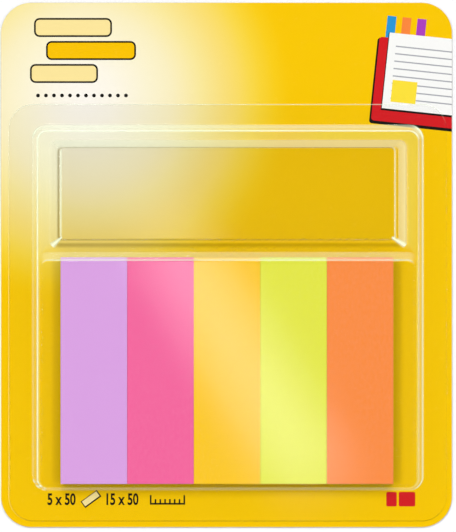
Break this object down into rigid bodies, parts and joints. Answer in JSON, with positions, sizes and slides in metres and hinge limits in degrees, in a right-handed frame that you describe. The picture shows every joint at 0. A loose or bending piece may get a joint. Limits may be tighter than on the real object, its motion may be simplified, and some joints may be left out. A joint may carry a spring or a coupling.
{
  "type": "carded pack of sticky index tabs",
  "caption": "Flat blister pack: rounded backing card with a clear formed film sealed to its front over a row of coloured paper index tab pads.",
  "frame": {"origin": "middle of the backing card's back face, which lies on z = 0", "axes": "+Z out of the card's front, +Y to the card's top edge, +X to the right of the card seen from its front"},
  "size_m": [0.1012, 0.1178, 0.0062],
  "materials": {
    "card": "satin",
    "film": "gloss",
    "paper_lilac": "matte",
    "paper_pink": "matte",
    "paper_amber": "matte",
    "paper_lime": "matte",
    "paper_orange": "matte"
  },
  "bodies": {
    "root": {"backing_card": "card", "blister_shell": "film", "pad_lilac": "paper_lilac", "pad_pink": "paper_pink", "pad_amber": "paper_amber", "pad_lime": "paper_lime", "pad_orange": "paper_orange"}
  },
  "joints": []
}
